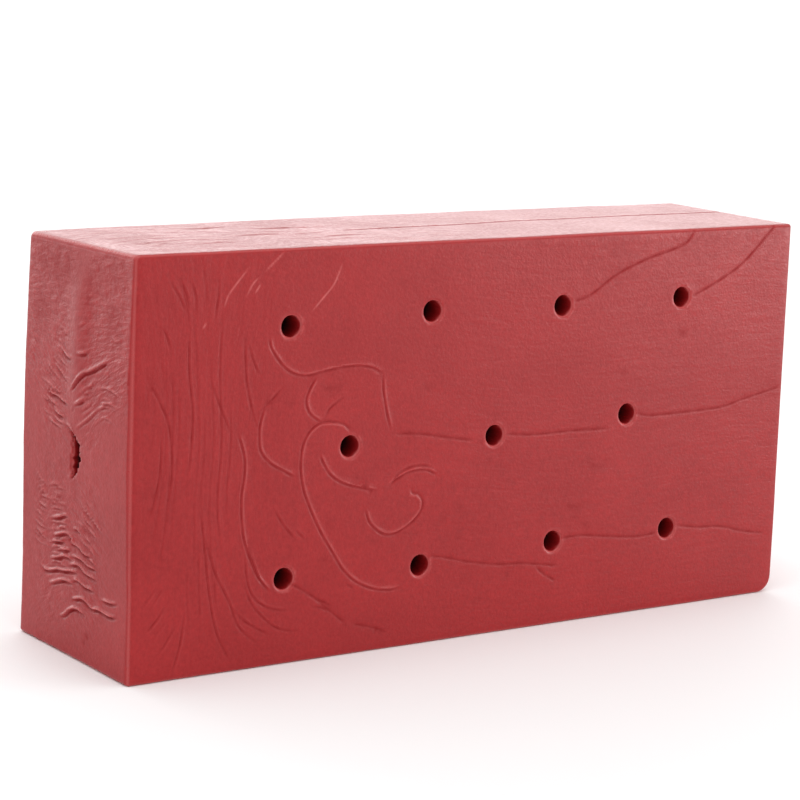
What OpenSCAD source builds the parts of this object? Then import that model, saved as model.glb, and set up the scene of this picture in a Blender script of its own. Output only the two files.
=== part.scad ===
// Detailing clay bar: one moulded block of kneadable clay.
// X runs along its length, Y through its depth and Z up from the face that it stands on.
// The origin is the middle of that base face. Sizes are in millimetres.

/* [Block] */
// Length of the block
block_length = 100; // [80:1:120]
// Height that it stands
block_height = 50; // [42:1:60]
// Depth at the base, where the soft clay has settled
base_depth = 26; // [22:0.5:30]
// Depth at the top
top_depth = 25; // [20:0.5:30]
// Radius of the ordinary edges
edge_radius = 0.6; // [0.3:0.1:1.5]
// Radius of the slumped corner at the base of the far end
slumped_radius = 2; // [1:0.5:4]

/* [Core pin holes] */
// Diameter of the holes that the mould's pins leave right through the block
hole_diameter = 2.8; // [2:0.1:4]
// Width of the bevel that the pulled pin leaves round each mouth
lip_width = 0.25; // [0.1:0.05:0.5]
// Distance between the holes of the outer rows
outer_pitch = 20; // [16:0.5:22]
// Distance between the holes of the middle row
middle_pitch = 21.5; // [16:0.5:23]
// Distance between one row and the next
row_pitch = 15.3; // [12:0.1:16]
// How far the pattern sits towards the far end
pattern_shift = 1; // [0:0.5:2]
// How far the pattern sits above the middle of the block
pattern_rise = 0.8; // [0:0.1:1.5]

/* [Gate tear] */
// Height of the tear that the sprue leaves in the gate end
tear_height = 5.5; // [3:0.5:8]
// Width of the tear at its middle
tear_width = 1.3; // [0.6:0.1:2]
// How far the tear goes in
tear_depth = 4; // [2:0.5:8]

/* [Hidden] */
// How far the flowing clay pushed each pin off its place in the grid, as [X, Z],
// row by row from the top row down. It also sets how many holes a row has.
pin_drift = [
    [[-0.2, -0.3], [0.2, 0.4], [0.3, 0], [0, 0]],
    [[0.2, 0], [0.4, -0.4], [0.2, 0.7]],
    [[-0.3, 0], [-0.3, -0.4], [0.3, 0.4], [-0.6, 0.2]]
];
// Overshoot of a cutting shape past the face that it cuts
overshoot = 1;
// The front and back lean in by this angle from the base to the top
lean = atan((base_depth - top_depth) / 2 / block_height);
$fn = 48;

// Distance of the front or back face from the middle at a given height
function face_y(height) = base_depth / 2 - height * tan(lean);

// Distance between neighbours in a row: the row of three is spread a little more
function row_spacing(row) = len(pin_drift[row]) == 3 ? middle_pitch : outer_pitch;

// Centre of hole i of a row, as [X, Z]
function hole_centre(row, i) = pin_drift[row][i] + [
    pattern_shift + (i - (len(pin_drift[row]) - 1) / 2) * row_spacing(row),
    block_height / 2 + pattern_rise + ((len(pin_drift) - 1) / 2 - row) * row_pitch
];

// Side outline seen along Y, with one slumped corner at the base of the far end
module length_outline() {
    half = block_length / 2;
    r = edge_radius;
    s = slumped_radius;
    polygon([
        [-half + r, 0], [half - s, 0], [half, s], [half, block_height - r],
        [half - r, block_height], [-half + r, block_height], [-half, block_height - r], [-half, r]
    ]);
    translate([half - s, s]) circle(r = s);
    for (corner = [[half - r, block_height - r], [-half + r, block_height - r], [-half + r, r]])
        translate(corner) circle(r = r);
}

// End outline seen along X: the sides lean in, and every corner is a true arc
module depth_outline() {
    r = edge_radius;
    low = [base_depth / 2 - r * (1 + sin(lean)) / cos(lean), r];
    high = [base_depth / 2 - (r + (block_height - r) * sin(lean)) / cos(lean), block_height - r];
    out = r * [cos(lean), sin(lean)];
    polygon([
        [-low.x, 0], [low.x, 0], low + out, high + out,
        [high.x, block_height], [-high.x, block_height],
        [-high.x - out.x, high.y + out.y], [-low.x - out.x, low.y + out.y]
    ]);
    for (centre = [low, high], side = [-1, 1])
        translate([side * centre.x, centre.y]) circle(r = r);
}

// Plan outline seen along Z
module plan_outline() {
    inner = [block_length - 2 * edge_radius, base_depth - 2 * edge_radius];
    square([block_length, inner.y], center = true);
    square([inner.x, base_depth], center = true);
    for (x = [-1, 1], y = [-1, 1])
        translate([x * inner.x / 2, y * inner.y / 2]) circle(r = edge_radius);
}

// The block without its holes: what the three outlines have in common
module solid_block() {
    intersection() {
        rotate([90, 0, 0])
            linear_extrude(base_depth + 2 * overshoot, center = true) length_outline();
        rotate([90, 0, 90])
            linear_extrude(block_length + 2 * overshoot, center = true) depth_outline();
        linear_extrude(block_height) plan_outline();
    }
}

// One core pin hole, right through along Y, with a bevelled mouth at each face
module pin_hole(centre) {
    r = hole_diameter / 2;
    translate([centre.x, 0, centre.y]) {
        rotate([90, 0, 0]) cylinder(r = r, h = base_depth + 2 * overshoot, center = true);
        for (side = [-1, 1])
            translate([0, side * face_y(centre.y), 0])
                rotate([90 * side, 0, 0])
                    translate([0, 0, -lip_width])
                        cylinder(r1 = r + 2 * lip_width, r2 = r, h = 2 * lip_width);
    }
}

// The staggered rows of holes
module pin_holes() {
    for (row = [0 : len(pin_drift) - 1], i = [0 : len(pin_drift[row]) - 1])
        pin_hole(hole_centre(row, i));
}

// The lens-shaped tear in the gate end, at the middle of its height
module gate_tear() {
    arc_radius = (pow(tear_height, 2) + pow(tear_width, 2)) / (4 * tear_width);
    shift = arc_radius - tear_width / 2;
    translate([-block_length / 2 - overshoot, 0, block_height / 2])
        rotate([90, 0, 90])
            linear_extrude(tear_depth + overshoot)
                intersection() {
                    translate([shift, 0]) circle(r = arc_radius);
                    translate([-shift, 0]) circle(r = arc_radius);
                }
}

module clay_block() {
    color("indianred")
        difference() {
            solid_block();
            pin_holes();
            gate_tear();
        }
}

clay_block();
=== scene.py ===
import math
import random

import bmesh
import bpy
import numpy as np
from mathutils import Matrix, Vector, geometry, noise
from mathutils.kdtree import KDTree


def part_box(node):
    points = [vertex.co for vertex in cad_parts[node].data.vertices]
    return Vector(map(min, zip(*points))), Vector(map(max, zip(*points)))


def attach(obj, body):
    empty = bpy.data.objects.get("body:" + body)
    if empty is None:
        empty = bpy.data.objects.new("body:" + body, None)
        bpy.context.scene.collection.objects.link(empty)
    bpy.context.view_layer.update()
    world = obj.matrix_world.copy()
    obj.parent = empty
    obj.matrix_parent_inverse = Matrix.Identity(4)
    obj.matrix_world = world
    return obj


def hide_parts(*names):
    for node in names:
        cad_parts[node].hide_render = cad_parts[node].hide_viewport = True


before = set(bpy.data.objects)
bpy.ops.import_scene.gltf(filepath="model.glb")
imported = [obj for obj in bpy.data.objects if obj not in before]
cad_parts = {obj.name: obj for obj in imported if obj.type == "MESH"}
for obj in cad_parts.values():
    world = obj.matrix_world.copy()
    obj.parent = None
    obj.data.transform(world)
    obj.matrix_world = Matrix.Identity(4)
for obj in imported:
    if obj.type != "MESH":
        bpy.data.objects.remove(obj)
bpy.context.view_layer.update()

# The block is modelled in millimetres and turned into metres at the end.
MM = 0.001
LOWEST, HIGHEST = (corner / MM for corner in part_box("clay_block"))
LENGTH, DEPTH, HEIGHT = HIGHEST - LOWEST

# The front and back lean in, as the base has settled under the weight of the clay.
TOP_DEPTH = DEPTH - 1.0
LEAN = (DEPTH - TOP_DEPTH) / 2 / HEIGHT

# The edges are rounded, more so along the top of the gate end, and the bottom edge of the far end
# has slumped. The last is how far they are paled, as a tone: a painted highlight along the edges.
EDGE_RADIUS = 0.45
GATE_TOP_RADIUS = 0.75
SLUMPED_RADIUS = 2.2
EDGE_HIGHLIGHT = 0.3

# The radius of a hole and of the flare of its mouth, and the ring of clay round that.
HOLE_RADIUS = 1.3
LIP_RADIUS = 0.28
RING_HEIGHT = 0.03
RING_WIDTH = 0.13

# How deep the torn slit goes, and the sections along it, as (depth, share of the width of
# the one before).
SLIT_DEPTH = 6.5
SLIT_SECTIONS = [(0.12, 1), (0.6, 0.95), (3, 0.8), (SLIT_DEPTH, 0.4)]

# Size of the cells that the block starts from, of those that the gate end's wrinkles need,
# as (across, up), and the heights between which it has them.
CELL = 2.5
WRINKLE_CELL = (0.4, 0.13)
WRINKLED = [(3, 17.5), (26, 38)]

# What lies past this x is the face of the gate end.
GATE_FACE = 0.1 - LENGTH / 2

# The size that the mesh's edges should have away from any mark, on the front and elsewhere,
# how fast it grows with the distance from a mark, and how far round the mark it stays small.
# An edge is halved when it is TOO_LONG times that size.
FRONT_MESH = 1.1
HIDDEN_MESH = 1.8
MESH_GROWTH = 0.7
MARK_REACH = 0.35
TOO_LONG = 1.45

# The smallest area that a triangle may have, in square millimetres, and the shortest edge.
SLIVER = 1e-4
SHORTEST = 0.003

# Centres of the holes that the mould's core pins leave, as (x, z).
HOLES = [
    (-29, 40.8), (-8.6, 41.5), (11.6, 41.1), (31.2, 41.2),
    (-20.1, 25.8), (1.6, 25.4), (22.9, 26.5),
    (-29, 10.5), (-9.1, 10), (11.6, 10.9), (30.7, 10.7),
]

# The mouth of the torn slit, where the sprue broke off, as (across, up) from the middle of
# the gate end.
SLIT = [
    (-0.6, 2.7), (0, 2.4), (0.4, 1.9), (0.8, 1.5), (1.3, 1.3), (1, 0.8), (1.4, 0.4), (1.2, 0),
    (1.5, -0.4), (1.3, -0.9), (1.1, -1.3), (0.8, -1.9), (0.3, -2.5), (-0.3, -2.9), (-0.1, -2.2),
    (-0.5, -1.7), (-0.2, -1.1), (-0.5, -0.6), (-0.1, -0.1), (-0.1, 0.6), (-0.3, 1.2),
    (-0.1, 1.7),
]

# How far each corner of the soft block has crept from its place in the mould, as (x, y, z).
# Each key says which end, which face and which height: -1 is the gate end, front or base.
CREEP = {
    (-1, -1, -1): (0.25, 0.0, 0.0), (-1, -1, 1): (-0.1, 0.1, 0.15),
    (-1, 1, -1): (0.0, 0.15, 0.0), (-1, 1, 1): (-0.25, 0.15, -0.5),
    (1, -1, -1): (0.55, 0.05, 0.0), (1, -1, 1): (0.0, 0.3, 0.3),
    (1, 1, -1): (0.3, -0.1, 0.0), (1, 1, 1): (0.2, 0.1, -0.1),
}

# How far the middle of the back's top edge has swelled up.
BACK_SWELL = 0.15

# The gate end at each height: how far it bulges, how much of its spine shows and how high
# that stands, how steeply its grain climbs away from the middle, and how strong the grain is.
END_BULGE = [(0, 0.1), (10, 0.05), (24, 0.4), (36, 0.35), (50, 0)]
SPINE_SHARE = [(26, 0), (34, 1), (44, 1), (48, 0)]
SPINE_PLACE = 0.6
SPINE_HEIGHT = 0.35
END_CLIMB = [(18, 0.35), (30, -0.5), (37, -0.4), (44, 0)]
END_GRAIN = [(2, 0.2), (6, 0.5), (19, 0.5), (24, 0.3), (29, 0.45), (34, 0.6), (48.5, 0.6),
             (50, 0.2)]

# How strong the grain is along the top, as (x, strength).
TOP_GRAIN = [(-50, 0.55), (-10, 0.45), (10, 0.2)]

# The camera: its place, its azimuth, elevation and roll in degrees, its lens and its sensor.
CAMERA_PLACE = (-200.92, -273.52, 94.14)
CAMERA_ANGLES = (-35.77, 11.1, 2.95)
LENS = 122.14
SENSOR_WIDTH = 36

# Each side of the block has its own flat frame: where its axes point, and which way is out.
# A point on it is (across, up), from the middle of the side's bottom edge. On the top and
# the base it is counted from the middle of the side.
SIDES = {
    "front": ((1, 0, 0), (0, 0, 1), (0, -1, 0)),
    "back": ((-1, 0, 0), (0, 0, 1), (0, 1, 0)),
    "gate_end": ((0, -1, 0), (0, 0, 1), (-1, 0, 0)),
    "far_end": ((0, 1, 0), (0, 0, 1), (1, 0, 0)),
    "top": ((1, 0, 0), (0, 1, 0), (0, 0, 1)),
    "base": ((1, 0, 0), (0, -1, 0), (0, 0, -1)),
}

# What each kind of mark does to the surface: how deep its crease is, how high its lip stands on the
# left of the line, how wide they are, how much the crease darkens the clay (below zero it pales
# it), how much of that the lip is paler, over what length it fades out at each end, and the size
# that the mesh's edges should have along it. The darkening of a crease is painted shade, and the
# paling of a lip or a scratch is a painted highlight. A smudge or a shade darkens the clay's own
# colour, except the gate end's shades, which are painted shade.
MARKS = {
    "knit": dict(depth=0.06, lip=0, width=0.16, tone=1.05, painted_highlight=0, fade=0.8, mesh=0.2),
    "lap": dict(depth=0.1, lip=0.06, width=0.13, tone=1.1, painted_highlight=0.3, fade=0.8, mesh=0.16),
    "flow": dict(depth=0.055, lip=0.02, width=0.13, tone=1.1, painted_highlight=0.1, fade=2.5, mesh=0.2),
    "scratch": dict(depth=-0.04, lip=0, width=0.1, tone=-0.6, painted_highlight=0, fade=1.2, mesh=0.2),
    "smudge": dict(depth=0.01, lip=0, width=0.45, tone=0.6, painted_highlight=0, fade=0.8, mesh=0.45),
    "shade": dict(depth=0, lip=0, width=2.8, tone=0.16, painted_highlight=0, fade=1.2, mesh=1.1),
    "coarse": dict(depth=0.08, lip=0.05, width=0.28, tone=0.35, painted_highlight=0.3, fade=3, mesh=0.48),
    "wrinkle": dict(depth=0.32, lip=0.26, width=0.16, tone=1.3, painted_highlight=0.4, fade=1.2, mesh=0.3),
    "ripple": dict(depth=0.12, lip=0.13, width=0.13, tone=0.9, painted_highlight=0.5, fade=1.2, mesh=0.3),
    "seam": dict(depth=0.18, lip=0.08, width=0.18, tone=0.9, painted_highlight=0.5, fade=1.2, mesh=0.25),
}

# Lines on the front, as (x, z). Knit lines trail downstream from the core pins.
FRONT_KNITS = [
    [(-13.6, 26.8), (-10, 26.5), (-5, 25.6), (-1.5, 25)],
    [(3.5, 25.4), (8, 25), (14, 25), (20, 24.8)],
    [(24.6, 26.4), (27, 26), (33, 26), (39, 26.2), (43, 27), (49.5, 28.2)],
    [(33, 41.2), (35, 42), (38.5, 43.5), (42, 45.6), (47, 50)],
    [(13.2, 41.5), (16, 42.3), (20, 44.6), (25, 46.4), (31, 48), (33, 50)],
    [(-28, 9.8), (-25, 8), (-22.4, 5.9), (-20, 4)],
    [(-24.6, 7.6), (-23, 6.9), (-21.8, 6)],
    [(-19, 3.8), (-16, 3), (-13.4, 2)],
    [(-7.6, 11), (-5, 10.5), (-1.5, 9.6), (3, 8.8), (7, 8.5), (12.5, 7.6)],
    [(9, 7.9), (10.5, 6.7), (12.6, 5.5)],
    [(13, 11.1), (16, 11.2), (20, 10.7), (25, 10.1), (29, 10.2)],
    [(32.4, 10.9), (36, 10.3), (40, 10), (44, 9), (48, 8.3)],
]

# Laps, where one fold of clay ran over another. The upper fold is on the left of each line.
FRONT_LAPS = [
    [(-32, 39.5), (-31.6, 38.2), (-30, 36.2), (-28.5, 35.2), (-26.5, 34.8), (-23, 35.3),
     (-20, 35.5), (-17.5, 35.2), (-15.7, 34.3)],
    [(-15.7, 34), (-15.5, 32), (-15, 29.8), (-14.3, 27.4)],
    [(-20.2, 27.8), (-21.2, 28.6), (-23, 29), (-24.7, 28.9), (-26.2, 27.8), (-27, 26),
     (-27.1, 23.5), (-26.6, 21), (-25.5, 18.5), (-24, 15.7), (-22.2, 13), (-20.5, 10.6),
     (-18.5, 8.9), (-16, 7.8), (-13.8, 7.4), (-12, 7.5)],
    [(-25.3, 34.5), (-26.2, 33), (-26.6, 31.7), (-26, 30.2), (-24.4, 29)],
    [(-24.4, 25), (-23.2, 23), (-21.8, 21.8), (-20, 21), (-17.8, 20.4), (-16, 20)],
    [(-17.6, 17.8), (-16.8, 16), (-15, 14.6), (-13.2, 14.4), (-11, 15.3), (-9.4, 16.7),
     (-9.1, 18), (-9.8, 19), (-10.6, 19.2), (-11, 20)],
    [(-14.2, 20.4), (-13, 21.2), (-11, 21.9), (-8.8, 21.9), (-7, 21.2)],
    [(-32.5, 31.2), (-33, 29), (-32.8, 26.4), (-31.5, 24.8), (-29.5, 23.6), (-28, 22.8)],
    [(-35.9, 28.5), (-35.1, 26.2), (-34.9, 24), (-35.3, 20.5), (-34.9, 16.5), (-34, 13.8),
     (-32.8, 11.3), (-31, 9.2)],
]

# Fainter flow lines.
FRONT_FLOWS = [
    [(-24, 29.3), (-23.3, 30.5), (-22, 31.4), (-20.8, 32.1)],
    [(-33.4, 30.8), (-31.6, 32.1), (-29.6, 34)],
    [(-34.6, 14.4), (-34.1, 10.6), (-32.8, 8.3), (-30.5, 7), (-27.8, 6.5)],
    [(-34.7, 10.8), (-33.4, 7.9), (-31, 5.4), (-28.8, 4.2), (-26, 3.8)],
    [(-36.2, 7.8), (-34.4, 6), (-32.5, 4.8), (-30, 3.4)],
    [(-40.1, 16.5), (-38.6, 12.2), (-36.6, 8.6), (-35.3, 5.6), (-33.5, 3.8), (-32, 2.8)],
    [(-40.8, 20), (-40.1, 15), (-39.4, 10), (-38.2, 5), (-36, 1)],
    [(-34.2, 15.5), (-33.2, 12.5), (-31.9, 10), (-31, 9.2)],
    [(-42.6, 8), (-43.2, 4), (-44.3, 0.5)],
    [(-31, 19.5), (-29, 16.7), (-26.8, 14.5)],
    [(-27.6, 16.3), (-26.2, 15)],
    [(-20, 8.9), (-18.8, 8.1)],
    [(-24.8, 6.6), (-23.4, 6.3), (-22.4, 5.5)],
    [(-13.9, 20.8), (-12.6, 21.9), (-10.8, 22.5), (-8.6, 22.4), (-7, 21.6)],
    [(-46.2, 29.5), (-46.3, 25), (-47, 21.5), (-47.8, 19)],
    [(-48.6, 36.4), (-46.6, 33.2), (-45.2, 30), (-44.7, 25), (-45.2, 21)],
    [(-45.4, 46.8), (-44.2, 45), (-43.2, 43)],
    [(-44.2, 47.2), (-43.3, 45.2), (-42.8, 43.5)],
    [(-47.2, 41.9), (-46, 41), (-45, 38.4)],
    [(-42.9, 41), (-42.7, 36), (-42.1, 31), (-42.4, 26)],
    [(-39.8, 35), (-38.2, 31.4), (-36.8, 28.4)],
    [(-35.4, 40), (-35, 35), (-34.2, 31.6), (-33.4, 29)],
    [(-34.8, 39), (-34, 36.8), (-33, 35)],
]

# Short soft smudges of darker clay.
FRONT_SMUDGES = [
    [(4.1, 7.3), (4.9, 7)],
    [(14.7, 14), (15.3, 13.6)],
    [(16.7, 12.6), (17.3, 12.4)],
    [(13, 15.4), (15, 15), (17, 15.1)],
    [(-3.6, 16.9), (-3, 16.7)],
    [(-6.3, 15.4), (-5.3, 15.7)],
    [(-3.5, 13.1), (-3.1, 12.9)],
    [(0.7, 22.5), (1.3, 22.3)],
    [(-2.2, 20.3), (-1.8, 20.1)],
    [(-9.5, 32.5), (-8.3, 31.8)],
    [(-28.8, 31.8), (-28.2, 31.6)],
    [(-32.3, 32.1), (-31.7, 31.9)],
    [(-24.6, 33.2), (-22.8, 33), (-21, 33.7)],
    [(-23.2, 32.4), (-22.6, 32.2)],
    [(-16.6, 14.1), (-16.2, 13.7)],
    [(-23.7, 12.5), (-23, 11.8)],
    [(-23.1, 17), (-23, 16.2)],
    [(21.4, 32.2), (22.6, 31.8)],
    [(30.5, 36.7), (33, 36.3)],
    [(16.4, 21), (18.5, 19.8), (20, 20.6)],
]

# Wide, weak shades, where the two streams of clay differ a little in colour.
FRONT_SHADES = [
    [(-20, 48), (-14, 44), (-6, 45)],
    [(-40, 2), (-25, 2.5), (-8, 2)],
    [(0.5, 7), (1.5, 15), (0.5, 22)],
    [(-20, 23), (-17, 20)],
    [(-48, 12), (-47.5, 25), (-48, 46)],
    [(39, 27.4), (44, 28), (50, 29.5)],
    [(-27, 38), (-18, 37), (-10, 38)],
    [(4, 33), (14, 32)],
    [(12, 16), (18, 18)],
]

# Hairline nicks that stand proud and catch the light, painted paler as a highlight.
FRONT_SCRATCHES = [
    [(-38.3, 43.5), (-37.5, 45.2), (-35, 48)],
    [(-35.3, 44.6), (-34.5, 46), (-33.6, 46.8)],
    [(-34.1, 45), (-33.4, 46)],
    [(-32.8, 47.4), (-31.5, 48.5), (-30.2, 49.6)],
    [(-26.2, 42.4), (-24.7, 43.9), (-23.2, 45.5), (-22, 48)],
    [(-41, 41.3), (-40.6, 41.9)],
]

# Families of faint lines: the first line, the last line and how many lie between them.
FRONT_FAMILIES = [
    ([(-48.6, 41), (-46.6, 36), (-46.2, 28), (-47, 20), (-48.8, 14)],
     [(-36.5, 46), (-37, 37), (-36.4, 28), (-36.8, 19), (-34.5, 8)], 9),
    ([(-46.2, 13.4), (-47.2, 12), (-48.6, 10.2)], [(-43.5, 6), (-45.5, 3), (-48.5, 0.8)], 5),
    ([(-47, 49), (-44.5, 44), (-43, 38)], [(-38, 49.5), (-38.5, 45), (-39.5, 40)], 4),
    ([(-43, 20), (-43, 12), (-42.7, 6), (-44.3, 0.5)],
     [(-38, 19), (-38, 10), (-37, 4), (-35, 1)], 3),
]

# Wrinkles on the gate end, as (across, up), below and above the slit.
END_WRINKLES = [
    [(-2.7, 4.4), (-2, 4.6), (-1.3, 5), (-0.7, 5.5), (0, 5.9), (0.8, 6.1), (1.6, 6.1), (3, 5.8)],
    [(0, 7.2), (0.8, 7.3), (1.7, 7.6), (2.6, 7.7), (3.4, 7.5), (4.2, 7.2), (5, 7.1), (6, 7.3),
     (7.5, 7.2), (9, 7.2), (10.3, 7.4)],
    [(6.8, 8.7), (9, 8.8), (10.4, 9.1)],
    [(-5.5, 7.8), (-4.5, 8.1), (-3.4, 8.5), (-2.2, 8.9), (0, 9)],
    [(0, 9.5), (1.2, 9.6), (3, 9.3), (5.3, 9.3)],
    [(-7.7, 9.5), (-6.8, 9.2), (-6, 9.2), (-5, 9.5), (-3.5, 9.9), (-2, 10.1), (-0.5, 10.4),
     (1.2, 10.6)],
    [(-5.2, 11), (-4, 11.3), (-3, 11.6), (-2, 11.9), (-0.2, 11.9)],
    [(-0.8, 11.1), (0.8, 11.5), (1.7, 11.4), (2.4, 11.1), (3.2, 10.9), (5.7, 10.7)],
    [(-4, 12.3), (-2, 12.7), (-0.4, 13)],
    [(-0.4, 12.3), (0.7, 12.4), (1.8, 12.4), (2.6, 12.2), (3.5, 12), (5.7, 11.9)],
    [(-5, 13.2), (-3.4, 13.4), (-1.8, 13.8)],
    [(-4.5, 13.9), (-3.5, 14.2), (-2.5, 14.6), (-1.6, 14.8), (-0.9, 14.7), (-0.4, 14.2),
     (0, 13.9), (0.8, 13.8), (1.8, 13.6), (2.6, 13.3), (3.5, 13.2), (4.5, 13.4)],
    [(0.2, 15.8), (1, 15.8), (1.9, 15.4)],
    [(-5.3, 15.9), (-3.4, 16.4), (-2, 16.9), (-1, 16.9)],
    [(-5, 34.8), (-4, 34.4), (-3, 33.8), (-2.3, 33.4), (-1.6, 33.1)],
    [(-4, 37.1), (-2.6, 36.5), (-1.5, 36.1), (-0.6, 36.1)],
    [(-6.6, 32), (-5.6, 31.2), (-4, 31), (-1.5, 30.4)],
    [(-5.3, 29.4), (-4, 29), (-2.2, 28.7)],
    [(-1.9, 28.1), (-1.2, 27.9), (-0.6, 27.5), (-0.1, 27)],
    [(-0.6, 32.4), (0, 32.9), (0.8, 33.6), (1.6, 34.3), (2.5, 34.9), (3.5, 35.2), (5.5, 36.1),
     (7.5, 37)],
    [(1, 36.9), (2, 37.1), (3, 37.4)],
    [(0.4, 30.8), (1.4, 31.2), (2.6, 31.9)],
]

# Finer ripples on the gate end.
END_RIPPLES = [
    [(-5.2, 10.4), (-4, 10.8), (-2.4, 11)],
    [(-3.4, 15.2), (-2.4, 15.4), (-1.4, 15.4)],
    [(-8.8, 19.6), (-7.6, 19.1), (-6.8, 18.9)],
    [(-8.6, 18.7), (-7.4, 18.3), (-5.5, 18.3), (-3.2, 18.5)],
    [(-9.2, 14.1), (-7.8, 13.4), (-6.2, 13)],
    [(-5.2, 28.6), (-3.6, 28.1), (-2, 28)],
    [(-4.2, 35.9), (-3, 35.3), (-1.6, 34.9)],
    [(-5, 32.1), (-4, 31.6), (-3.2, 31.5)],
    [(3.6, 33.2), (4.4, 34.2)],
    [(6.2, 31.8), (8, 32.2), (9.6, 31.9)],
    [(7.8, 39.8), (9.4, 39.6), (10.6, 40)],
    [(9, 40.5), (10.6, 40.5)],
    [(1.2, 40.4), (2.2, 40.6)],
    [(2, 43.8), (3.6, 44)],
    [(-2.8, 38.9), (-2, 38.7)],
    [(-2, 40.8), (-1.4, 40.6)],
    [(-0.2, 30), (0, 30.5)],
    [(2.8, 32.5), (3.2, 32.7)],
    [(-1, 21.7), (-0.5, 22), (-0.1, 22.5)],
    [(1.1, 26.2), (2, 26.4)],
]

# Smudges, shades and families of ripples on the gate end. The shades darken the upper part of the
# gate end: painted shade.
END_SMUDGES = [
    [(2.7, 3.5), (4.7, 3.7)],
    [(2.8, 2.7), (3.2, 2.7)],
]
END_PAINTED_SHADES = [
    [(-11, 47.5), (-4, 46.5), (4, 46.5), (11, 47.5)],
    [(-11, 42), (-6, 41)],
    [(6, 42), (11, 42)],
]
END_FAMILIES = [
    ([(-6, 9.6), (-3.6, 10.2), (-0.8, 10.6)], [(-6.2, 20.2), (-4, 20.6), (-1.4, 20.8)], 19),
    ([(0.6, 13.4), (3, 12.6), (6.6, 11.4)], [(1.4, 20), (3.4, 19), (6.8, 17.4)], 11),
    ([(-10, 12.6), (-8, 12), (-6, 12.2)], [(-9.6, 22), (-8, 20.6), (-6, 20)], 12),
    ([(0.4, 27.4), (3, 28.8), (5.5, 30.6)], [(0.4, 31.6), (3, 33.6), (6.5, 35.6)], 5),
    ([(5, 28.6), (7, 29.6), (10, 29.2)], [(5, 33.8), (7.4, 34.6), (10.6, 34)], 4),
    ([(-8.4, 28.4), (-6, 27.8), (-2.6, 27)], [(-8, 35.5), (-5.6, 34.4), (-3, 33)], 9),
    ([(-5.5, 35.4), (-4, 34.8), (-2, 34)], [(-5, 40), (-3.6, 39.6), (-2, 39)], 6),
]

# The top, as (x, y): the seam where the two streams of clay met, and coarse folds.
TOP_SEAMS = [
    [(-14, 0), (-8, 0.1), (0, 0.3), (10, 0.9), (22, 1.4), (34, 1.6), (46, 1.6), (50, 1.5)],
]
TOP_LAPS = [
    [(-24, 4.4), (-18, 4), (-13.5, 3.2)],
    [(-30, -1), (-26, -0.4), (-22, -0.6)],
    [(-39, -6.2), (-35, -5.4), (-31, -5.8)],
    [(-21, -4.8), (-17, -4), (-12, -4.4)],
    [(-44, -6.5), (-42, -4.5), (-40.5, -4)],
    [(-33, 7.4), (-29, 7), (-25.5, 7.2)],
]
TOP_FAMILIES = [
    ([(-48, -10), (-38, -7), (-28, -9.6)], [(-46, 9), (-38, 10), (-28, 6.6)], 6),
    ([(-30, -8), (-22, -9.6), (-10, -7)], [(-28, 9), (-20, 7), (-12, 9.6)], 5),
]

# The far end, as (across, up): the seam runs on down it.
FAR_SEAMS = [
    [(1.5, 50), (1.3, 44), (0.6, 36), (0.9, 28), (0.2, 20), (-0.4, 11), (-0.2, 5)],
]
FAR_FLOWS = [
    [(-11, 28.4), (-7, 29), (-3.5, 28.6), (-1, 29.4)],
    [(-11, 8.4), (-6, 9), (-2, 8.2)],
    [(3, 12), (7, 11.4), (11, 12.2)],
    [(3, 40), (6.5, 41.2), (10.5, 40.6)],
    [(-9.5, 45), (-6, 43.6), (-3, 44)],
    [(2.5, 22), (6, 23.4), (9.6, 23)],
]

# The back, as (across, up), with the gate end on its right: knit lines that trail from the
# same core pins, folds and flow lines.
BACK_KNITS = [
    [(-11.5, 40.8), (-16, 41.8), (-22, 44.6), (-29, 47.6), (-33, 50)],
    [(-33.2, 41), (-38, 43), (-44, 47.5)],
    [(-3.6, 25.2), (-9, 24.6), (-15, 25), (-20.8, 26.2)],
    [(-25, 26.6), (-31, 25.8), (-39, 26.6), (-49.5, 25.8)],
    [(7, 10.2), (2, 9.4), (-4, 9.8), (-9.4, 10.6)],
    [(-13.8, 10.6), (-20, 9.6), (-28.6, 10.4)],
    [(-33, 10.4), (-40, 9.2), (-49, 9.8)],
    [(26.8, 41.4), (20, 43.6), (12, 46.2)],
    [(6.4, 41.8), (0, 43.4), (-7, 43.8)],
]
BACK_LAPS = [
    [(33.5, 38), (30.4, 34.4), (26, 33), (22.4, 34.6), (19.8, 37.4)],
    [(27.5, 27.4), (29.4, 22), (27.6, 16), (23, 12.6), (17.6, 13)],
    [(16.4, 29.8), (12.6, 32.6), (8.4, 31.4), (7, 27.6)],
    [(17.4, 20.4), (13, 17.6), (9.4, 19.2)],
    [(36.4, 30), (35, 24.6), (36, 18.4), (33.4, 13.6)],
]
BACK_FAMILIES = [
    ([(48.6, 40), (46.6, 28), (48.4, 14)], [(37, 45), (36, 28), (35, 9)], 8),
    ([(41, 12), (38, 5), (34, 1.5)], [(33, 9), (30.4, 5.4), (26, 3)], 3),
]


def face_y(height):
    """How far the front or back face stands from the middle at a height."""
    return DEPTH / 2 - height * LEAN


def at(profile, place):
    """The value that a profile of (place, value) pairs has at each place."""
    return np.interp(place, *zip(*profile))


def smooth_line(points, spacing=0.12):
    """A smooth curve through a few points, as an array of closely spaced ones."""
    knots = [Vector((a, b, 0)) for a, b in points]
    ends = [2 * knots[0] - knots[1]] + knots + [2 * knots[-1] - knots[-2]]
    curve = []
    for before, start, end, after in zip(ends, ends[1:], ends[2:], ends[3:]):
        steps = max(2, math.ceil((end - start).length / spacing) + 1)
        curve += geometry.interpolate_bezier(
            start, start + (end - before) / 6, end - (after - start) / 6, end, steps)[:-1]
    curve.append(knots[-1])
    return np.array([(p.x, p.y) for p in curve])


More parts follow.
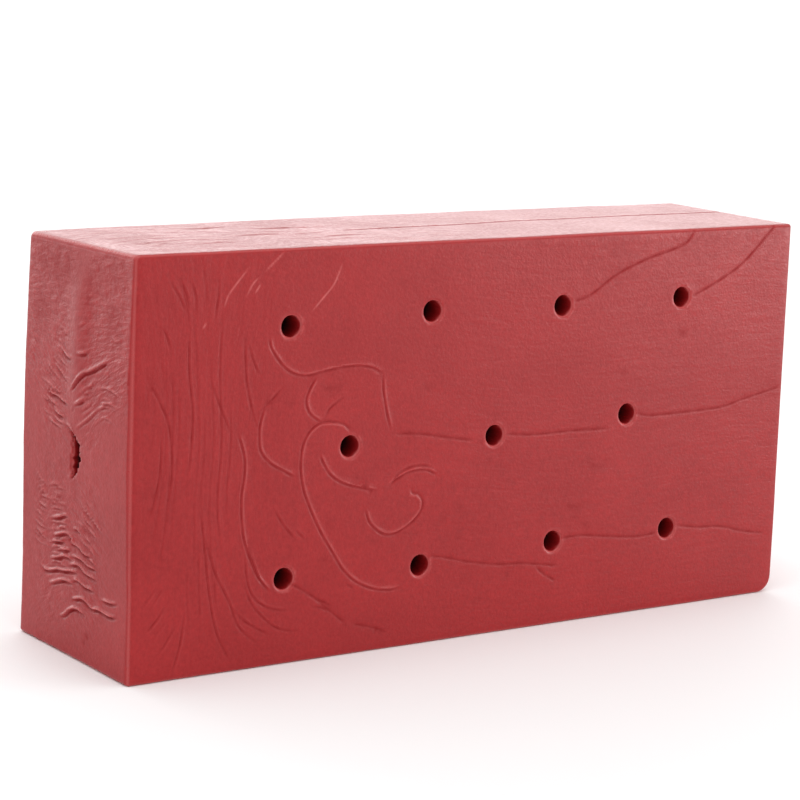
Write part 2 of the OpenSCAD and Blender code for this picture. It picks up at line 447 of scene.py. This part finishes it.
class Mark:
    """One line on a side of the block, with the shape of its kind and a strength."""

    def __init__(self, side, kind, points, strength=1):
        self.side = side
        self.line = smooth_line(points)
        self.shape = MARKS[kind]
        self.strength = strength


def between(side, kind, first, last, count, rng, strength):
    """Marks spread from one line to another, each with its own place, length, sway and
    strength. Each is drawn through some of 12 points that lie between the two lines."""
    first, last = smooth_line(first, 0.5), smooth_line(last, 0.5)
    steps = np.linspace(0, 1, 12)
    first = first[(steps * (len(first) - 1)).astype(int)]
    last = last[(steps * (len(last) - 1)).astype(int)]
    marks = []
    for i in range(count):
        share = (i + rng.uniform(0.2, 0.8)) / count
        line = first * (1 - share) + last * share
        start = rng.randint(0, 4)
        stop = rng.randint(7, 11)
        bow = np.sin(np.linspace(0, 3, stop + 1 - start))[:, None]
        line = line[start:stop + 1] + rng.uniform(-0.25, 0.25) * bow
        marks.append(Mark(side, kind, line.tolist(), strength * rng.uniform(0.4, 1.2)))
    return marks


def all_marks():
    """Every line on the block."""
    rng = random.Random(7)
    marks = [Mark("front", "knit", line) for line in FRONT_KNITS]
    marks += [Mark("front", "lap", line) for line in FRONT_LAPS]
    marks += [Mark("front", "flow", line) for line in FRONT_FLOWS]
    marks += [Mark("front", "scratch", line) for line in FRONT_SCRATCHES]
    marks += [Mark("front", "smudge", line) for line in FRONT_SMUDGES]
    marks += [Mark("front", "shade", line) for line in FRONT_SHADES]
    for first, last, count in FRONT_FAMILIES:
        marks += between("front", "flow", first, last, count, rng, 0.75)
    marks += [Mark("gate_end", "wrinkle", line) for line in END_WRINKLES]
    marks += [Mark("gate_end", "ripple", line) for line in END_RIPPLES]
    marks += [Mark("gate_end", "smudge", line) for line in END_SMUDGES]
    # The gate end's shades are painted shade towards its top.
    marks += [Mark("gate_end", "shade", line, 2.5) for line in END_PAINTED_SHADES]
    for first, last, count in END_FAMILIES:
        marks += between("gate_end", "ripple", first, last, count, rng, 0.9)
    marks += [Mark("top", "seam", line, 0.5) for line in TOP_SEAMS]
    marks += [Mark("top", "coarse", line) for line in TOP_LAPS]
    for first, last, count in TOP_FAMILIES:
        marks += between("top", "coarse", first, last, count, rng, 0.5)
    marks += [Mark("far_end", "seam", line, 0.5) for line in FAR_SEAMS]
    marks += [Mark("far_end", "coarse", line, 0.6) for line in FAR_FLOWS]
    marks += [Mark("back", "knit", line) for line in BACK_KNITS]
    marks += [Mark("back", "coarse", line, 1.2) for line in BACK_LAPS]
    for first, last, count in BACK_FAMILIES:
        marks += between("back", "coarse", first, last, count, rng, 0.7)
    return marks


def on_block(side, across, up):
    """Where a point of a side's flat frame lies on the block."""
    right, above, out = (np.array(axis, float) for axis in SIDES[side])
    place = np.outer(across, right) + np.outer(up, above)
    if side in ("front", "back"):
        reach = DEPTH / 2 - np.asarray(up) * LEAN
    elif side in ("gate_end", "far_end"):
        reach = np.full(len(place), LENGTH / 2)
    else:
        reach = np.full(len(place), HEIGHT if side == "top" else 0)
    return place + reach[:, None] * out


def round_off(bm, edges, radius, segments):
    """Rounds some edges to a radius."""
    bmesh.ops.bevel(bm, geom=edges, offset=radius, segments=segments, profile=0.5,
                    affect="EDGES", material=-1)


def plain_block():
    """The block before anything marks it: drawn in at the top, with every edge rounded."""
    bm = bmesh.new()
    bmesh.ops.create_cube(bm, size=1)
    bmesh.ops.translate(bm, vec=(0, 0, 0.5), verts=bm.verts)
    bmesh.ops.scale(bm, vec=(LENGTH, DEPTH, HEIGHT), verts=bm.verts)
    top = [v for v in bm.verts if v.co.z > HEIGHT / 2]
    bmesh.ops.scale(bm, vec=(1, TOP_DEPTH / DEPTH, 1), verts=top)
    slumped = [e for e in bm.edges if all(v.co.x > 0 and v.co.z < 1 for v in e.verts)]
    round_off(bm, slumped, SLUMPED_RADIUS, 10)
    above_gate = [e for e in bm.edges if all(v.co.x < 0 and v.co.z > HEIGHT / 2 for v in e.verts)]
    round_off(bm, above_gate, GATE_TOP_RADIUS, 6)
    sharp = [e for e in bm.edges if e.calc_face_angle() > math.radians(60)]
    round_off(bm, sharp, EDGE_RADIUS, 4)
    return bm


def slice_up(bm, faces, axis, places):
    """Cuts some faces with flat planes, and returns what they are cut into."""
    normal = [float(i == axis) for i in range(3)]
    for place in places:
        edges = [e for f in faces for e in f.edges]
        verts = [v for f in faces for v in f.verts]
        cut = bmesh.ops.bisect_plane(bm, geom=list(dict.fromkeys([*faces, *edges, *verts])),
                                     dist=1e-4, plane_co=[n * place for n in normal],
                                     plane_no=normal)
        faces = [g for g in cut["geom"] if isinstance(g, bmesh.types.BMFace)]
    return faces


def spaced(start, end, size):
    """Places between two ends, about a size apart."""
    return np.linspace(start, end, round((end - start) / size) + 1)[1:-1]


def cut_into_cells(bm):
    """Slices the block into cells that can be refined evenly, and the gate end into cells
    that are low and wide, because its wrinkles run across it. Where it is wrinkled they are
    half as high."""
    for axis in range(3):
        slice_up(bm, bm.faces[:], axis, spaced(LOWEST[axis], HIGHEST[axis], CELL))
    gate_end = [f for f in bm.faces if f.calc_center_median().x < GATE_FACE]
    width, height = WRINKLE_CELL
    rows = spaced(0, HEIGHT, 2 * height)
    halves = [place for place in (rows[1:] + rows[:-1]) / 2
              if any(low < place < high for low, high in WRINKLED)]
    gate_end = slice_up(bm, gate_end, 2, [*rows, *halves])
    slice_up(bm, gate_end, 1, spaced(-DEPTH / 2, DEPTH / 2, width))


def pin_cutters():
    """The mould's core pins, flared where they meet each face."""
    bm = bmesh.new()
    arc = [math.radians(angle) for angle in range(0, 61, 15)]
    for x, z in HOLES:
        mouth = face_y(z)
        flare = [(HOLE_RADIUS + LIP_RADIUS * (1 - math.cos(a)),
                  mouth - LIP_RADIUS * (1 - math.sin(a))) for a in arc]
        outside = mouth + LIP_RADIUS
        half = flare + [(HOLE_RADIUS + 2 * LIP_RADIUS, outside), (0, outside)]
        outline = [(r, -y) for r, y in half[::-1]] + half
        verts = [bm.verts.new((r, y, 0)) for r, y in outline]
        edges = [bm.edges.new(pair) for pair in zip(verts, verts[1:])]
        bmesh.ops.spin(bm, geom=verts + edges, cent=(0, 0, 0), axis=(0, 1, 0),
                       angle=2 * math.pi, steps=32, use_merge=True)
        pin = [v for v in bm.verts if not v.tag]
        bmesh.ops.translate(bm, vec=(x, 0, z), verts=pin)
        for v in pin:
            v.tag = True
    bmesh.ops.remove_doubles(bm, verts=bm.verts, dist=1e-4)
    bmesh.ops.recalc_face_normals(bm, faces=bm.faces)
    return bm


def slit_cutter():
    """The ragged wedge that the torn slit takes out of the gate end."""
    bm = bmesh.new()
    outline = smooth_line(SLIT + SLIT[:1], 0.3)[:-1]
    start = -LENGTH / 2 - 0.6
    mouth = bm.faces.new([bm.verts.new((start, -a, HEIGHT / 2 + b)) for a, b in outline])
    for depth, shrink in SLIT_SECTIONS:
        end = depth - LENGTH / 2
        grown = bmesh.ops.extrude_face_region(bm, geom=[mouth])["geom"]
        if len(bm.faces) > len(outline) + 2:
            bmesh.ops.delete(bm, geom=[mouth], context="FACES_ONLY")
        mouth = next(g for g in grown if isinstance(g, bmesh.types.BMFace))
        bmesh.ops.translate(bm, vec=(end - start, 0, 0), verts=mouth.verts)
        around = Matrix.Translation(-mouth.calc_center_median())
        bmesh.ops.scale(bm, vec=(1, shrink, (1 + shrink) / 2), space=around, verts=mouth.verts)
        start = end
    bmesh.ops.recalc_face_normals(bm, faces=bm.faces)
    return bm


def as_object(bm, name):
    """Turns a bmesh into an object of the scene, and frees it."""
    mesh = bpy.data.meshes.new(name)
    bm.to_mesh(mesh)
    bm.free()
    piece = bpy.data.objects.new(name, mesh)
    bpy.context.scene.collection.objects.link(piece)
    return piece


def subtract(piece, cutter):
    """Cuts one mesh out of another, and takes the cutter away."""
    cut = piece.modifiers.new("cut", "BOOLEAN")
    cut.operation = "DIFFERENCE"
    cut.solver = "EXACT"
    cut.object = cutter
    depsgraph = bpy.context.evaluated_depsgraph_get()
    result = bpy.data.meshes.new_from_object(piece.evaluated_get(depsgraph))
    piece.modifiers.clear()
    piece.data = result
    bpy.data.objects.remove(cutter)


def mesh_guide(marks):
    """A tree of the points on the marks and round the holes, with the size that the mesh's
    edges should have at each."""
    places, sizes = [], []
    for mark in marks:
        line = mark.line[::2]
        places += on_block(mark.side, line[:, 0], line[:, 1]).tolist()
        sizes += [mark.shape["mesh"]] * len(line)
    turns = np.radians(np.arange(0, 360, 15))
    mouth = HOLE_RADIUS + 1.2 * LIP_RADIUS
    for side, facing, size in (("front", 1, 0.25), ("back", -1, 0.4)):
        for x, z in HOLES:
            ring = on_block(side, facing * x + mouth * np.cos(turns), z + mouth * np.sin(turns))
            places += ring.tolist()
            sizes += [size] * len(ring)
    tree = KDTree(len(places))
    for index, place in enumerate(places):
        tree.insert(place, index)
    tree.balance()
    return tree, sizes


def wanted_size(place, tree, sizes):
    """The size that the mesh's edges should have at a place. The face of the gate end is
    fine enough already, and the insides of the holes and the slit need little."""
    buried = min(LENGTH / 2 - abs(place.x), face_y(place.z) - abs(place.y),
                 place.z, HEIGHT - place.z) > 0.5
    if place.x < GATE_FACE or buried:
        return CELL
    _, index, distance = tree.find(place)
    plain = FRONT_MESH if place.y < 0 and place.z > 0.5 else HIDDEN_MESH
    return min(sizes[index] + MESH_GROWTH * max(0.0, distance - MARK_REACH), plain)


def into_triangles(bm):
    """Splits every face into triangles. Where three corners are in line this can leave flat
    pairs back to back, which are deleted, and slivers, whose longest edge is turned."""
    bmesh.ops.triangulate(bm, faces=[f for f in bm.faces if len(f.verts) > 3],
                          ngon_method="EAR_CLIP")
    twins = {}
    for face in bm.faces:
        twins.setdefault(frozenset(face.verts), []).append(face)
    folded = [face for faces in twins.values() if len(faces) > 1 for face in faces]
    bmesh.ops.delete(bm, geom=folded, context="FACES")
    for _ in range(6):
        for face in [f for f in bm.faces if f.calc_area() < SLIVER]:
            if face.is_valid:
                bmesh.utils.edge_rotate(max(face.edges, key=lambda e: e.calc_length()))
    bmesh.ops.delete(bm, geom=[e for e in bm.edges if e.is_wire], context="EDGES")


def middle_of(edge):
    """The point half way along an edge."""
    return (edge.verts[0].co + edge.verts[1].co) / 2


def refine(bm, tree, sizes, rounds=5):
    """Halves each edge that is too long for its place, until hardly any is, and makes the
    triangles of the flat sides as even as they can be."""
    into_triangles(bm)
    for _ in range(rounds):
        long_edges = [e for e in bm.edges if e.calc_length()
                      > TOO_LONG * wanted_size(middle_of(e), tree, sizes)]
        bmesh.ops.subdivide_edges(bm, edges=long_edges, cuts=1)
        into_triangles(bm)
        sides = [f for f in bm.faces if max(abs(c) for c in f.normal) > 0.999]
        level = set(sides)
        flat = [e for e in bm.edges if level.issuperset(e.link_faces)
                and e.calc_face_angle(math.pi) < math.radians(2)]
        bmesh.ops.beautify_fill(bm, faces=sides, edges=flat)
    bmesh.ops.dissolve_degenerate(bm, dist=SHORTEST, edges=bm.edges)
    into_triangles(bm)


def nearest_on(line, points, batch=4000):
    """Which point of a line is the nearest to each point, worked out a batch at a time."""
    nearest = np.empty(len(points), int)
    for start in range(0, len(points), batch):
        block = slice(start, start + batch)
        gaps = points[block, None, :] - line[None, :, :]
        nearest[block] = np.argmin((gaps ** 2).sum(2), 1)
    return nearest


def relief_of(mark, across, up):
    """How high a mark raises each point of its side, and how much it darkens it. The crease follows
    the line, and the lip stands beside it on the left. Along a crease the darkening is painted
    shade and the paler lip a painted highlight. A scratch is painted paler as a highlight, and a
    smudge or a shade of the front darkens the clay's own colour."""
    line, shape, width = mark.line, mark.shape, mark.shape["width"]
    reach = 4 * width
    low, high = line.min(0) - reach, line.max(0) + reach
    near = np.flatnonzero((across > low[0]) & (across < high[0])
                          & (up > low[1]) & (up < high[1]))
    height, tone = np.zeros(len(across)), np.zeros(len(across))
    if not len(near):
        return height, tone
    points = np.stack([across[near], up[near]], 1)
    nearest = nearest_on(line, points)
    steps = np.gradient(line, axis=0)
    pace = np.linalg.norm(steps, axis=1, keepdims=True) + 1e-9
    heading = (steps / pace)[nearest]
    gap = points - line[nearest]
    left = heading[:, 0] * gap[:, 1] - heading[:, 1] * gap[:, 0]
    past_end = heading[:, 0] * gap[:, 0] + heading[:, 1] * gap[:, 1]
    run = np.cumsum(pace[:, 0])
    to_end = np.minimum(run, run[-1] - run)[nearest]
    force = np.clip(to_end / min(shape["fade"], run[-1] / 3), 0.1, 1)
    force *= np.exp(-(past_end / width) ** 2)
    force *= mark.strength * (0.85 + 0.15 * np.sin(2.3 * run + 9 * line[0, 0])[nearest])
    groove = np.exp(-(left / width) ** 2)
    lip = np.exp(-((left - 1.9 * width) / (1.1 * width)) ** 2)
    height[near] = force * (shape["lip"] * lip - shape["depth"] * groove)
    # Painted shade along the crease, less a painted highlight on the lip.
    tone[near] = force * shape["tone"] * (groove - shape["painted_highlight"] * lip)
    return height, tone


def clay_noise(place, size, seed):
    """A soft noise from -1 to 1 whose lumps are about a size across."""
    return noise.noise(Vector((place[0], place[1], place[2] + 31 * seed)) / size)


def grain_of(side, across, up):
    """The clay's grain: how far along it and across it each point of a side lies, in
    millimetres, and how strongly it shows there."""
    if side == "front":
        # Near the gate end it runs upwards and fans out. Past the swirls it runs downstream.
        height = (up - 26) / 20
        fan = (across + 43) * (1 - np.where(height < 0, 0.37, 0.25) * height ** 2)
        waving = up + 0.8 * np.sin(across / 9)
        upstream = across < -24
        strength = 0.14 * np.clip((-25 - across) / 9, 0, 1)
        strength += 0.1 * np.clip((across + 22) / 20, 0, 1)
        return np.where(upstream, up, across), np.where(upstream, fan, waving), strength
    if side == "gate_end":
        # It arches over the middle below the slit, and sags towards it above. It is weak on
        # the smooth sides beside the slit, on the spine above it and next to the edges.
        beside = up + at(END_CLIMB, up) * (np.sqrt((across + 0.6) ** 2 + 2) - 1.4)
        smooth_sides = np.clip((abs(across + 1) - 6) / 3, 0, 1) * np.clip((34 - up) / 5, 0, 1)
        spine = np.exp(-((across - SPINE_PLACE) / 1.9) ** 2) * np.clip((up - 24) / 5, 0, 1)
        next_to_edge = at([(11, 1), (12.6, 0.2)], abs(across))
        strength = at(END_GRAIN, up) * (1 - 0.8 * smooth_sides)
        strength *= (1 - 0.8 * spine) * next_to_edge
        return 3 * across, beside, strength
    if side == "top":
        # It curls along the block, and dies away downstream.
        curl = np.array([noise.noise(Vector((a / 7, b / 4, 5))) for a, b in zip(across, up)])
        return 1.4 * across, up + 5 * curl, at(TOP_GRAIN, across)
    return across, up, np.full(len(across), 0.3)


def hole_rims(across, up):
    """The low, ragged ring that each pulled pin leaves round its mouth, painted paler as a
    highlight. It is fullest on the lower right."""
    height, tone = np.zeros(len(across)), np.zeros(len(across))
    for x, z in HOLES:
        radius = np.hypot(across - x, up - z)
        turn = np.arctan2(up - z, across - x)
        ring = np.exp(-((radius - HOLE_RADIUS - 1.1 * LIP_RADIUS) / RING_WIDTH) ** 2)
        ragged = 0.6 + 0.4 * np.sin(5 * turn + x) * np.sin(2 * turn + z)
        ragged *= 0.65 + 0.35 * np.cos(turn + math.pi / 4)
        height += RING_HEIGHT * ring * ragged
        # The ring is painted paler: a painted highlight.
        tone -= 0.4 * ring * ragged
    return height, tone


def shadow_inside(places):
    """How dark each point is painted for lying inside a hole or the slit: painted shade, where
    little light reaches. It is darkest, at 2, from about 2.5 mm into a hole and 0.25 mm into the
    slit."""
    x, y, z = places.T
    tone = np.zeros(len(places))
    for hole_x, hole_z in HOLES:
        inside = np.hypot(x - hole_x, z - hole_z) < HOLE_RADIUS + LIP_RADIUS
        depth = face_y(z) - abs(y)
        tone[inside] = (2 * np.clip((depth - 0.2) / 2.5, 0, 1))[inside]
    slit = (abs(y) < 3) & (abs(z - HEIGHT / 2) < 5) & (x < SLIT_DEPTH + 0.1 - LENGTH / 2)
    tone[slit] = (2 * np.clip((x + LENGTH / 2 - 0.02) / 0.25, 0, 1))[slit]
    return tone


def gate_end_swell(across, up, along, beside, force):
    """How far the gate end stands out: its bulge, its spine and the ripples of its grain."""
    ripple = np.array([noise.noise(Vector((a / 4, b / 0.6, 3))) for a, b in zip(along, beside)])
    spine = np.exp(-((across - SPINE_PLACE) / 2.2) ** 2) * at(SPINE_SHARE, up)
    return 0.08 * force * ripple + SPINE_HEIGHT * spine + at(END_BULGE, up)


def edge_share(places, normals):
    """How much each point lies on a rounded edge: 1 in its middle, 0 on a flat side."""
    x, y, z = places.T
    depth = np.stack([face_y(z) - abs(y), LENGTH / 2 - abs(x), z, HEIGHT - z]).min(0)
    turned = np.clip((0.97 - abs(normals).max(1)) / 0.2, 0, 1)
    return np.where(depth < EDGE_RADIUS, turned, 0)


def press_marks(bm, marks):
    """Moves each point of the surface out or in, and gives it what the clay's material needs:
    its tone, and its place and strength in the grain. A point on a rounded edge takes a share
    of the sides that meet there. Each side's grain has a layer of the noise to itself."""
    bm.normal_update()
    places = np.array([v.co for v in bm.verts])
    normals = np.array([v.normal for v in bm.verts])
    moved, tone = np.zeros((len(places), 3)), shadow_inside(places)
    grain, strength = np.zeros((len(places), 3)), np.zeros(len(places))
    for number, (side, axes) in enumerate(SIDES.items()):
        right, above, out = (np.array(axis, float) for axis in axes)
        flat = on_block(side, places @ right, places @ above)
        facing = np.clip(normals @ out, 0, 1) ** 2
        facing[abs((places - flat) @ out) > EDGE_RADIUS] = 0
        chosen = np.flatnonzero(facing > 0.02)
        across, up = places[chosen] @ right, places[chosen] @ above
        share = facing[chosen]
        raised = np.zeros(len(chosen))
        for mark in (m for m in marks if m.side == side):
            height, shade = relief_of(mark, across, up)
            raised += height
            darker = abs(shade) > abs(tone[chosen])
            tone[chosen[darker]] = (share * shade)[darker]
        if side == "front":
            height, shade = hole_rims(across, up)
            raised += height
            tone[chosen] += share * shade
        along, beside, force = grain_of(side, across, up)
        own = share > 0.5
        grain[chosen[own]] = np.stack([along, beside, np.full(len(chosen), 40.0 * number)], 1)[own]
        strength[chosen[own]] = (force * np.clip(10 * share - 9, 0, 1))[own]
        if side == "gate_end":
            raised += gate_end_swell(across, up, along, beside, force)
        moved[chosen] += np.outer(share * raised, out)
    # The rounded edges are paled: a painted highlight.
    tone -= EDGE_HIGHLIGHT * edge_share(places, normals)
    dents = [0.05 * clay_noise(p, 9, 1) + 0.018 * clay_noise(p, 1.6, 2) for p in places]
    moved += normals * np.array(dents)[:, None]
    tone_layer = bm.verts.layers.float.new("tone")
    strength_layer = bm.verts.layers.float.new("grain_strength")
    grain_layer = bm.verts.layers.float_vector.new("grain")
    for index, v in enumerate(bm.verts):
        v[tone_layer] = tone[index]
        v[strength_layer] = strength[index]
        v[grain_layer] = grain[index]
        v.co += Vector(moved[index])


def creep(bm):
    """Shifts each point by its share of what the corners have crept, and swells the top edge
    of the back. Nothing sinks below the surface that the block stands on."""
    for v in bm.verts:
        share = [(v.co.x - LOWEST.x) / LENGTH, (v.co.y - LOWEST.y) / DEPTH, v.co.z / HEIGHT]
        shift = Vector()
        for corner, moved in CREEP.items():
            weight = math.prod(s if c > 0 else 1 - s for c, s in zip(corner, share))
            shift += weight * Vector(moved)
        shift.z += BACK_SWELL * 4 * share[0] * (1 - share[0]) * share[1] * share[2]
        v.co += shift
        v.co.z = max(v.co.z, 0)


def linear(colour):
    """An sRGB hex colour as the linear RGBA that a shader takes."""
    channels = [int(colour[i:i + 2], 16) / 255 for i in (1, 3, 5)]
    return [c / 12.92 if c <= 0.04045 else ((c + 0.055) / 1.055) ** 2.4 for c in channels] + [1]


def add_node(tree, kind, inputs, **properties):
    """Adds a node, and gives each named input a value, or a link where the value is another
    node's output."""
    node = tree.nodes.new(kind)
    for name, value in properties.items():
        setattr(node, name, value)
    for name, value in inputs.items():
        if isinstance(value, bpy.types.NodeSocket):
            tree.links.new(value, node.inputs[name])
        else:
            node.inputs[name].default_value = value
    return node


def attribute(tree, name, output):
    """What the surface carries under a name, as a value or as a vector."""
    return add_node(tree, "ShaderNodeAttribute", {}, attribute_name=name).outputs[output]


def clay_material():
    """Detailing clay: an opaque polybutene putty filled with fine abrasive and red pigment, moulded
    warm. It looks like dull red rubber with a waxy bloom: streaks of a deeper red follow its flow.
    Its creases are darkened with painted shade, and its edges, the lips of its folds and the rims
    of its holes are paled with painted highlights.

    The tone of the surface is 0 where it is plain, 1 in a crease's full painted shade and in the
    darkest smudges, 2 in the painted shade deep inside a hole and the slit, and -1 at the brightest
    painted highlight."""
    material = bpy.data.materials.new("moulded_polybutene_putty")
    material.use_nodes = True
    tree = material.node_tree
    shader = tree.nodes["Principled BSDF"]
    shader.inputs["IOR"].default_value = 1.34
    place = add_node(tree, "ShaderNodeTexCoord", {}).outputs["Object"]
    tone = attribute(tree, "tone", "Fac")
    strength = attribute(tree, "grain_strength", "Fac")
    grain = attribute(tree, "grain", "Vector")

    # Streaks of the flow, 5 mm long and 0.8 mm wide, and the thin creases between them, which are
    # lines of painted shade.
    stretched = add_node(tree, "ShaderNodeMapping", {"Vector": grain, "Scale": (1 / 5, 1 / 0.8, 1)})
    streaks = add_node(tree, "ShaderNodeTexNoise", {
        "Vector": stretched.outputs[0], "Scale": 1.0, "Detail": 3.0, "Roughness": 0.55,
        "Distortion": 0.3}).outputs["Fac"]
    off_middle = add_node(tree, "ShaderNodeMath", {0: streaks, 1: 0.5}, operation="SUBTRACT")
    apart = add_node(tree, "ShaderNodeMath", {0: off_middle.outputs[0]}, operation="ABSOLUTE")
    crease = add_node(tree, "ShaderNodeMapRange", {
        "Value": apart.outputs[0],
        "From Min": 0.0, "From Max": 0.022, "To Min": 0.5, "To Max": 0.0})
    # Painted shade along the thin creases.
    crease_shade = add_node(tree, "ShaderNodeMath", {0: crease.outputs[0], 1: strength},
                       operation="MULTIPLY").outputs[0]
    waves = add_node(tree, "ShaderNodeMath", {0: off_middle.outputs[0], 1: strength},
                     operation="MULTIPLY").outputs[0]

    # Blooms 12 mm across, and specks of pigment 0.5 mm across.
    cloud = add_node(tree, "ShaderNodeTexNoise", {
        "Vector": place, "Scale": 1 / (12 * MM), "Detail": 4.0, "Roughness": 0.6}).outputs["Fac"]
    specks = add_node(tree, "ShaderNodeTexNoise", {
        "Vector": place, "Scale": 1 / (0.5 * MM), "Detail": 2.0, "Roughness": 0.6}).outputs["Fac"]
    mottle = add_node(tree, "ShaderNodeMix", {0: 0.6, 2: cloud, 3: specks}).outputs[0]
    streaky = add_node(tree, "ShaderNodeMath", {0: waves, 1: mottle}, operation="ADD").outputs[0]
    body_share = add_node(tree, "ShaderNodeMapRange", {
        "Value": streaky, "From Min": 0.3, "From Max": 0.7}).outputs[0]

    # From the body's red to the pink of the painted highlights, the deep red of the creases'
    # painted shade and of the darker smudges, and the painted shade deep inside the holes and the
    # slit.
    red = add_node(tree, "ShaderNodeMix", {
        0: body_share, 6: linear("#8f181b"), 7: linear("#a52426")}, data_type="RGBA").outputs[2]
    # The pink of the painted highlights on edges, lips, rims and scratches.
    painted_highlight = add_node(tree, "ShaderNodeMapRange", {"Value": tone, "From Min": 0.0, "From Max": -1.0})
    highlighted = add_node(tree, "ShaderNodeMix", {
        0: painted_highlight.outputs[0], 6: red, 7: linear("#e07a78")}, data_type="RGBA").outputs[2]
    # The painted shade of the creases, of the holes and slit and of the gate end's shades, with the
    # clay's darker smudges and shades, turns the red deeper.
    deeper = add_node(tree, "ShaderNodeMath", {0: tone, 1: crease_shade}, operation="MAXIMUM")
    shade_and_dark_clay = add_node(tree, "ShaderNodeMix", {
        0: deeper.outputs[0], 6: highlighted, 7: linear("#840409")}, data_type="RGBA").outputs[2]
    # Painted shade deep inside the holes and the slit.
    inside = add_node(tree, "ShaderNodeMapRange", {"Value": tone, "From Min": 1.0, "From Max": 2.0})
    colour = add_node(tree, "ShaderNodeMix", {
        0: inside.outputs[0], 6: shade_and_dark_clay, 7: linear("#3a0e10")}, data_type="RGBA").outputs[2]
    tree.links.new(colour, shader.inputs["Base Color"])

    # The waxy bloom is duller where the red is deeper, and dullest in the creases. Where the
    # painted highlights are it shines.
    bloom = add_node(tree, "ShaderNodeMapRange", {
        "Value": streaky, "From Min": 0.3, "From Max": 0.7, "To Min": 0.42, "To Max": 0.28})
    roughness = add_node(tree, "ShaderNodeMath", {0: tone, 1: 0.35, 2: bloom.outputs[0]},
                         operation="MULTIPLY_ADD", use_clamp=True)
    tree.links.new(roughness.outputs[0], shader.inputs["Roughness"])

    # The abrasive is far finer than this grit, which is as coarse as it needs to be to show.
    grit = add_node(tree, "ShaderNodeTexNoise", {
        "Vector": place, "Scale": 1 / (0.35 * MM), "Detail": 2.0, "Roughness": 0.6}).outputs["Fac"]
    gritty = add_node(tree, "ShaderNodeBump", {
        "Height": grit, "Strength": 1.0, "Distance": 0.028 * MM})
    rippled = add_node(tree, "ShaderNodeBump", {
        "Height": waves, "Normal": gritty.outputs[0], "Strength": 1.0, "Distance": 0.3 * MM})
    tree.links.new(rippled.outputs[0], shader.inputs["Normal"])
    return material


def make_block():
    """The moulded block, which stands for the plain CAD solid."""
    bm = plain_block()
    cut_into_cells(bm)
    piece = as_object(bm, "moulded_clay")
    subtract(piece, as_object(pin_cutters(), "pins"))
    subtract(piece, as_object(slit_cutter(), "tear"))
    marks = all_marks()
    bm = bmesh.new()
    bm.from_mesh(piece.data)
    refine(bm, *mesh_guide(marks))
    press_marks(bm, marks)
    creep(bm)
    bmesh.ops.scale(bm, vec=(MM, MM, MM), verts=bm.verts)
    bm.to_mesh(piece.data)
    bm.free()
    piece.data.materials.clear()
    piece.data.materials.append(clay_material())
    piece.data.shade_smooth()
    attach(piece, "root")
    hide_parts("clay_block")


def make_floor():
    """A pale card, 16 m across, that the block stands on."""
    bm = bmesh.new()
    bmesh.ops.create_grid(bm, x_segments=1, y_segments=1, size=8)
    floor = as_object(bm, "floor")
    material = bpy.data.materials.new("pale_card")
    material.use_nodes = True
    shader = material.node_tree.nodes["Principled BSDF"]
    shader.inputs["Base Color"].default_value = linear("#f8f8f8")
    shader.inputs["Roughness"].default_value = 0.9
    floor.data.materials.append(material)


def make_camera():
    """Looks at the front and the gate end from a little above, slightly rolled."""
    azimuth, elevation, roll = (math.radians(angle) for angle in CAMERA_ANGLES)
    back = Vector((math.sin(azimuth) * math.cos(elevation),
                   -math.cos(azimuth) * math.cos(elevation),
                   math.sin(elevation)))
    right = (-back).cross(Vector((0, 0, 1))).normalized()
    up = right.cross(-back)
    camera_x = right * math.cos(roll) + up * math.sin(roll)
    camera_y = up * math.cos(roll) - right * math.sin(roll)
    turned = Matrix((camera_x, camera_y, back)).transposed().to_4x4()
    camera = bpy.data.cameras.new("camera")
    camera.lens = LENS
    camera.sensor_width = SENSOR_WIDTH
    camera.clip_start = 0.01
    holder = bpy.data.objects.new("camera", camera)
    holder.matrix_world = Matrix.Translation(Vector(CAMERA_PLACE) * MM) @ turned
    bpy.context.scene.collection.objects.link(holder)
    bpy.context.scene.camera = holder


def add_light(name, place, target, size, power):
    """A soft box at a place, in metres, that faces a target."""
    light = bpy.data.lights.new(name, "AREA")
    light.shape = "RECTANGLE"
    light.size, light.size_y = size
    light.energy = power
    lamp = bpy.data.objects.new(name, light)
    lamp.location = place
    lamp.rotation_euler = (Vector(target) - Vector(place)).to_track_quat("-Z", "Y").to_euler()
    bpy.context.scene.collection.objects.link(lamp)


def light_studio():
    """An even white room, a wide light behind that glances off the top, a weak one overhead,
    and one low at each side for the sheen of the front's right and of the gate end."""
    add_light("behind", (0.9, 2.7, 0.9), (0, 0, 0.05), (4, 2), 45)
    add_light("overhead", (-0.1, -0.1, 0.8), (0, 0, 0.03), (0.5, 0.5), 2)
    add_light("front_right", (0.42, -0.3, 0.05), (0.05, 0, 0.025), (0.25, 0.08), 0.74)
    add_light("left", (-0.34, 0.5, 0.06), (-0.05, 0, 0.02), (0.4, 0.1), 0.32)
    world = bpy.data.worlds.new("studio")
    world.use_nodes = True
    background = world.node_tree.nodes["Background"]
    background.inputs["Color"].default_value = linear("#ffffff")
    background.inputs["Strength"].default_value = 0.85
    bpy.context.scene.world = world
    bpy.context.scene.view_settings.view_transform = "Standard"


make_block()
make_floor()
make_camera()
light_studio()
